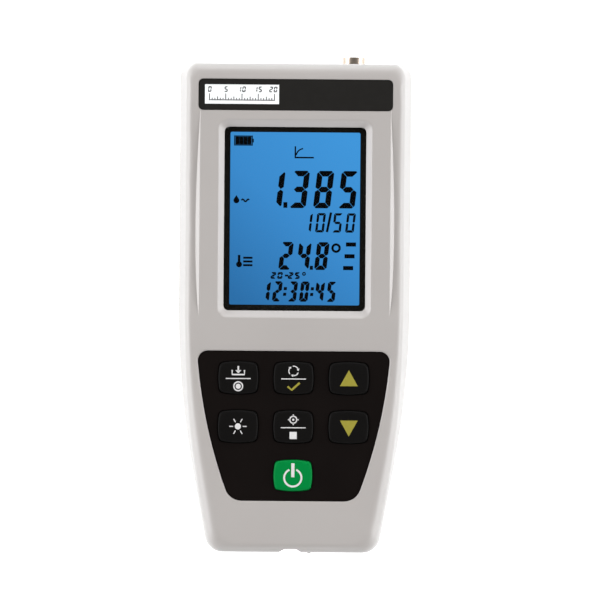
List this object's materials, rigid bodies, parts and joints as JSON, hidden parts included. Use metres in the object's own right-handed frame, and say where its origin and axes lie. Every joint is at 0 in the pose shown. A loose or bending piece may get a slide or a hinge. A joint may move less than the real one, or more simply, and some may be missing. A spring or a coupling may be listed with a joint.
{
  "type": "conductivity meter",
  "caption": "Handheld conductivity meter with a tall backlit display, a tapered black keypad, a probe socket on its top end and a battery door in its rear face.",
  "frame": {"origin": "middle of the rear face, under the middle of the whole part including its socket", "axes": "+Z out of the display, +Y towards the probe socket, +X to the right of the keypad"},
  "size_m": [0.088, 0.1892, 0.0403],
  "materials": {
    "shell": "fine matt moulded plastic, warm light grey",
    "black_plate": "satin black printed plate",
    "window": "clear scratch-resistant pane",
    "display": "blue backlit liquid crystal panel with dark segments",
    "light_guide": "milky light guide",
    "strip_rubber": "layered conductive rubber strip",
    "keypad": "fine matt black silicone rubber",
    "power_green": "matt green silicone rubber",
    "board": "green solder mask on laminate",
    "dark_plastic": "black moulded plastic",
    "nickel": "bright nickel plate",
    "gilt": "thin gold plate",
    "aluminium_can": "capacitor can with a printed sleeve",
    "lead_jacket": "red wire jacket",
    "cell_jacket": "plain printed foil sleeve",
    "black_rubber": "black moulded seal",
    "screw_steel": "plain bright steel"
  },
  "bodies": {
    "case": {"front_shell": "shell", "rear_shell": "shell", "housing_seal": "black_rubber", "name_plate": "black_plate", "display_window": "window", "window_gasket": "black_plate", "display_glass": "display", "display_holder": "dark_plastic", "backlight_panel": "light_guide", "contact_strips": "strip_rubber", "keypad_fascia": "keypad", "main_board": "board", "microcontroller": "dark_plastic", "analogue_chips": "dark_plastic", "clock_crystal": "nickel", "filter_capacitors": "aluminium_can", "contact_pads": "gilt", "probe_socket": "nickel", "socket_insulator": "dark_plastic", "socket_pins": "gilt", "socket_ring": "black_rubber", "socket_washer": "nickel", "socket_nut": "nickel", "socket_leads": "lead_jacket", "battery_cells": "cell_jacket", "battery_contacts": "nickel", "battery_springs": "nickel", "supply_pins": "gilt", "case_screws": "screw_steel", "board_screws": "screw_steel"},
    "memory_key": {"key_memory": "keypad"},
    "set_key": {"key_set": "keypad"},
    "up_key": {"key_up": "keypad"},
    "backlight_key": {"key_backlight": "keypad"},
    "calibrate_key": {"key_calibrate": "keypad"},
    "down_key": {"key_down": "keypad"},
    "power_key": {"key_power": "power_green"},
    "door": {"battery_door": "shell", "door_seal": "black_rubber"},
    "upper_screw": {"door_screw_upper": "screw_steel"},
    "lower_screw": {"door_screw_lower": "screw_steel"}
  },
  "joints": [
    {"name": "memory_press", "type": "slide", "parent": "case", "child": "memory_key", "axis": [0, 0, -1], "range_m": [0, 0.0008], "stiffness_N_per_m": 900, "springref_m": -0.0004},
    {"name": "set_press", "type": "slide", "parent": "case", "child": "set_key", "axis": [0, 0, -1], "range_m": [0, 0.0008], "stiffness_N_per_m": 900, "springref_m": -0.0004},
    {"name": "up_press", "type": "slide", "parent": "case", "child": "up_key", "axis": [0, 0, -1], "range_m": [0, 0.0008], "stiffness_N_per_m": 900, "springref_m": -0.0004},
    {"name": "backlight_press", "type": "slide", "parent": "case", "child": "backlight_key", "axis": [0, 0, -1], "range_m": [0, 0.0008], "stiffness_N_per_m": 900, "springref_m": -0.0004},
    {"name": "calibrate_press", "type": "slide", "parent": "case", "child": "calibrate_key", "axis": [0, 0, -1], "range_m": [0, 0.0008], "stiffness_N_per_m": 900, "springref_m": -0.0004},
    {"name": "down_press", "type": "slide", "parent": "case", "child": "down_key", "axis": [0, 0, -1], "range_m": [0, 0.0008], "stiffness_N_per_m": 900, "springref_m": -0.0004},
    {"name": "power_press", "type": "slide", "parent": "case", "child": "power_key", "axis": [0, 0, -1], "range_m": [0, 0.0008], "stiffness_N_per_m": 900, "springref_m": -0.0004},
    {"name": "door_lift", "type": "slide", "parent": "case", "child": "door", "axis": [0, 0, -1], "range_m": [0, 0.03]},
    {"name": "upper_screw_turn", "type": "hinge", "parent": "door", "child": "upper_screw", "pos_m": [0, 0.01752, 0.005], "axis": [0, 0, -1], "continuous": true},
    {"name": "lower_screw_turn", "type": "hinge", "parent": "door", "child": "lower_screw", "pos_m": [0, -0.04797, 0.005], "axis": [0, 0, -1], "continuous": true}
  ]
}
